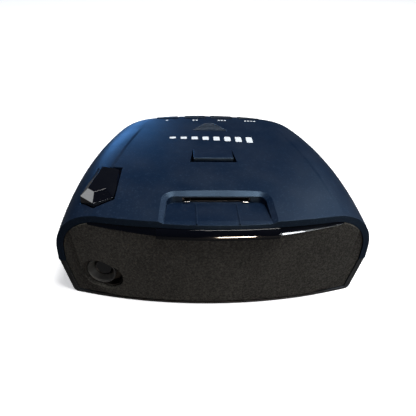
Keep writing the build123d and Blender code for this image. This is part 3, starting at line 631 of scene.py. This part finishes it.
def sheet_strip(name, profile, x, width, material):
    """Narrow strip of bent sheet, from its outline in depth and height and its middle in X."""
    mesh = bpy.data.meshes.new(name)
    net = bmesh.new()
    ends = []
    for side in (-0.5, 0.5):
        ends.append([net.verts.new(mm(x + side * width, FRONT_Y + depth, z)) for depth, z in profile])
    net.faces.new(ends[0])
    net.faces.new(reversed(ends[1]))
    for index in range(len(profile)):
        after = (index + 1) % len(profile)
        net.faces.new((ends[0][after], ends[0][index], ends[1][index], ends[1][after]))
    bmesh.ops.recalc_face_normals(net, faces=net.faces)
    net.to_mesh(mesh)
    net.free()
    mesh.materials.append(material)
    piece = bpy.data.objects.new(name, mesh)
    bpy.context.scene.collection.objects.link(piece)
    bevel = piece.modifiers.new("edges", "BEVEL")
    bevel.width = CLIP_EDGE * MM
    bevel.segments = 2
    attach(piece, "casing")
    return piece


def soft_spring():
    """Coil that stands for the CAD spring: a copy of its mesh, with the CAD node hidden."""
    source = NODES["button_spring"]
    piece = bpy.data.objects.new("return_coil", source.data.copy())
    piece.matrix_world = source.matrix_world
    bpy.context.scene.collection.objects.link(piece)
    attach(piece, "casing")
    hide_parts("button_spring")
    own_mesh(piece)
    return piece


class DETECTOR_OT_details(bpy.types.Operator):
    """Add the spring clips in the bracket slot and thin plates of painted highlight behind the grille slots
    """

    bl_idname = "detector.details"
    bl_label = "Details"
    bl_options = {"REGISTER", "UNDO"}

    def execute(self, context):
        look = context.scene.detector_details
        clip = metal("clip_steel", (0.78, 0.79, 0.81), (0.60, 0.61, 0.63), 0.22)
        for number, side in enumerate((-1, 1), 1):
            middle = side * look.clip_middle / MM
            name = f"slot_clip_{number}"
            sheet_strip(name, CLIP_PROFILE, middle, look.clip_width / MM, clip)
        # Painted highlight: thin lighter plates printed behind each grille slot stand in for the lit slot
        # walls
        edge = painted("grille_painted_highlight", look.edge, context.scene.detector_casing, 0.35)
        lines = []
        for index in range(GRILLE_SLOTS):
            share_back = index / (GRILLE_SLOTS - 1)
            width = 2 * (GRILLE_FRONT_HALF + (GRILLE_REAR_HALF - GRILLE_FRONT_HALF) * share_back)
            depth = GRILLE_FRONT + GRILLE_PITCH * index + GRILLE_HIGHLIGHT_SETBACK
            lines.append(bar(0, depth, width, GRILLE_PLATE, GRILLE_PLATE / 3))
        printed("grille_painted_highlights", lines, edge, context.scene.detector_marks.thickness)
        soft_spring()
        return {"FINISHED"}


class DETECTOR_OT_marks(bpy.types.Operator):
    """Print plain marks on the lid: a strength scale and a sign before each key"""

    bl_idname = "detector.marks"
    bl_label = "Printed marks"
    bl_options = {"REGISTER", "UNDO"}

    def execute(self, context):
        scene = context.scene
        look = scene.detector_marks
        ink = Finish("print_white")
        worn = ink.net.ramp(ink.net.noise(2600.0, 3.0, 0.6), 0.30, 0.42)
        ink.set("Base Color", ink.net.mix(worn, [v * 0.7 for v in look.ink], look.ink))
        ink.set("Roughness", ink.net.ramp(ink.net.noise(1200.0), 0.3, 0.7, 0.45, 0.6))
        pitch = SCALE_WIDTH / (look.bars - 1)
        scale = []
        for index in range(look.bars):
            length = SCALE_SHORT + SCALE_GROWTH * index / (look.bars - 1)
            middle = pitch * index - SCALE_WIDTH / 2
            scale.append(bar(middle, SCALE_BACK - length / 2, SCALE_BAR, length, SCALE_CORNER))
        printed("strength_scale", scale, ink.material, look.thickness)
        signs = []
        for number in range(1, 5):
            low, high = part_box(f"key_{number}")
            x = (low.x + high.x) / 2 / MM
            for side in range(number):
                middle = x + (side - (number - 1) / 2) * SIGN_PITCH
                signs.append(bar(middle, SIGN_DEPTH, SIGN_WIDTH, SIGN_LENGTH, SIGN_CORNER))
        printed("key_signs", signs, ink.material, look.thickness)
        return {"FINISHED"}


# ------------------------------------------------------------------ studio


def lamp(scene, name, at, aim, size, power, color=(1, 1, 1), height=None, sheen=False):
    """Soft box that looks at a point, or one that shows only in gloss."""
    data = bpy.data.lights.new(name, "AREA")
    data.shape = "RECTANGLE"
    data.size = size
    data.size_y = size if height is None else height
    data.energy = power
    data.color = color
    light = bpy.data.objects.new(name, data)
    light.location = at
    light.rotation_euler = (Vector(aim) - Vector(at)).to_track_quat("-Z", "Y").to_euler()
    light.visible_diffuse = not sheen
    scene.collection.objects.link(light)
    return light


class DETECTOR_OT_studio(bpy.types.Operator):
    """Set the floor, the soft light and the camera"""

    bl_idname = "detector.studio"
    bl_label = "Studio"
    bl_options = {"REGISTER", "UNDO"}

    def execute(self, context):
        scene = context.scene
        look = scene.detector_studio
        data = bpy.data.cameras.new("camera")
        data.lens = look.lens
        data.sensor_width = 36
        data.clip_start = 0.002
        data.clip_end = 30
        camera = bpy.data.objects.new("camera", data)
        camera.location = look.camera
        camera.rotation_euler = look.turn
        scene.collection.objects.link(camera)
        scene.camera = camera
        scene.view_settings.view_transform = "Standard"
        self.sky(scene, look)
        self.floor(scene, look)
        aim = (0, 0, 0.02)
        brow = (0.012, -0.043, 0.028)
        lamp(scene, "overhead", (0.16, -0.09, 0.78), aim, 0.30, 6.6, (1.0, 0.99, 0.97))
        lamp(scene, "rear_left", (-0.24, 0.74, 0.15), aim, 0.30, 1.1, (0.14, 0.42, 1.0), 0.16, sheen=True)
        lamp(scene, "rear_high", (0.38, 0.38, 0.58), aim, 0.20, 0.75, (0.75, 0.88, 1.0), sheen=True)
        lamp(scene, "right_side", (0.62, 0.12, 0.34), aim, 0.30, 1.6, (0.80, 0.90, 1.0))
        lamp(scene, "left_side", (-0.62, 0.02, 0.26), aim, 0.08, 0.26, (0.96, 0.98, 1.0), 0.20, sheen=True)
        lamp(scene, "wing_strip", (0.50, -0.62, 0.09), brow, 0.40, 3.6, (0.92, 0.96, 1.0), 0.06, sheen=True)
        lamp(scene, "brow_warm", (0.11, -0.62, 0.035), brow, 0.13, 2.6, (1.0, 0.80, 0.62), 0.05, sheen=True)
        return {"FINISHED"}

    def sky(self, scene, look):
        world = bpy.data.worlds.new("sky")
        world.use_nodes = True
        net = Net(world.node_tree)
        seen = net.add("ShaderNodeLightPath").outputs["Is Camera Ray"]
        back = world.node_tree.nodes["Background"]
        net.feed(back.inputs["Color"], net.mix(seen, look.sky, look.floor))
        net.feed(back.inputs["Strength"], net.ramp(seen, 0.0, 1.0, look.sky_power, 1.0))
        scene.world = world

    def floor(self, scene, look):
        mesh = bpy.data.meshes.new("floor")
        net = bmesh.new()
        bmesh.ops.create_grid(net, x_segments=8, y_segments=8, size=3.0)
        net.to_mesh(mesh)
        net.free()
        finish = Finish("floor_paper", roughness=0.85)
        seen = finish.net.add("ShaderNodeLightPath").outputs["Is Camera Ray"]
        dim = [v * look.bounce for v in look.floor]
        fibre = finish.net.ramp(finish.net.noise(400.0, 4.0, 0.6), 0.2, 0.8, 0.0, 0.03)
        pale = finish.net.mix(fibre, look.floor, [v * 0.9 for v in look.floor])
        glow = finish.net.mix(seen, (0, 0, 0), look.floor)
        finish.set("Emission Color", glow).set("Emission Strength", 0.60)
        finish.set("Base Color", finish.net.mix(seen, dim, pale)).set("Specular IOR Level", 0.1)
        mesh.materials.append(finish.material)
        paper = bpy.data.objects.new("floor", mesh)
        scene.collection.objects.link(paper)


class DETECTOR_PT_steps(bpy.types.Panel):
    """Buttons of the finishing steps"""

    bl_label = "Radar detector"
    bl_space_type = "VIEW_3D"
    bl_region_type = "UI"
    bl_category = "Detector"

    def draw(self, context):
        for step in STEPS:
            self.layout.operator(step.bl_idname)


SETTINGS = (
    ("detector_casing", DETECTOR_PG_casing),
    ("detector_front", DETECTOR_PG_front),
    ("detector_details", DETECTOR_PG_details),
    ("detector_marks", DETECTOR_PG_marks),
    ("detector_studio", DETECTOR_PG_studio),
)
STEPS = (
    DETECTOR_OT_effects,
    DETECTOR_OT_casing,
    DETECTOR_OT_front,
    DETECTOR_OT_inside,
    DETECTOR_OT_details,
    DETECTOR_OT_marks,
    DETECTOR_OT_studio,
)


def register():
    for name, kind in SETTINGS:
        bpy.utils.register_class(kind)
        setattr(bpy.types.Scene, name, PointerProperty(type=kind))
    for kind in (*STEPS, DETECTOR_PT_steps):
        bpy.utils.register_class(kind)


def unregister():
    for kind in (DETECTOR_PT_steps, *reversed(STEPS)):
        bpy.utils.unregister_class(kind)
    for name, kind in reversed(SETTINGS):
        delattr(bpy.types.Scene, name)
        bpy.utils.unregister_class(kind)


def main():
    register()
    for step in STEPS:
        category, name = step.bl_idname.split(".")
        getattr(getattr(bpy.ops, category), name)()


if __name__ == "__main__":
    main()
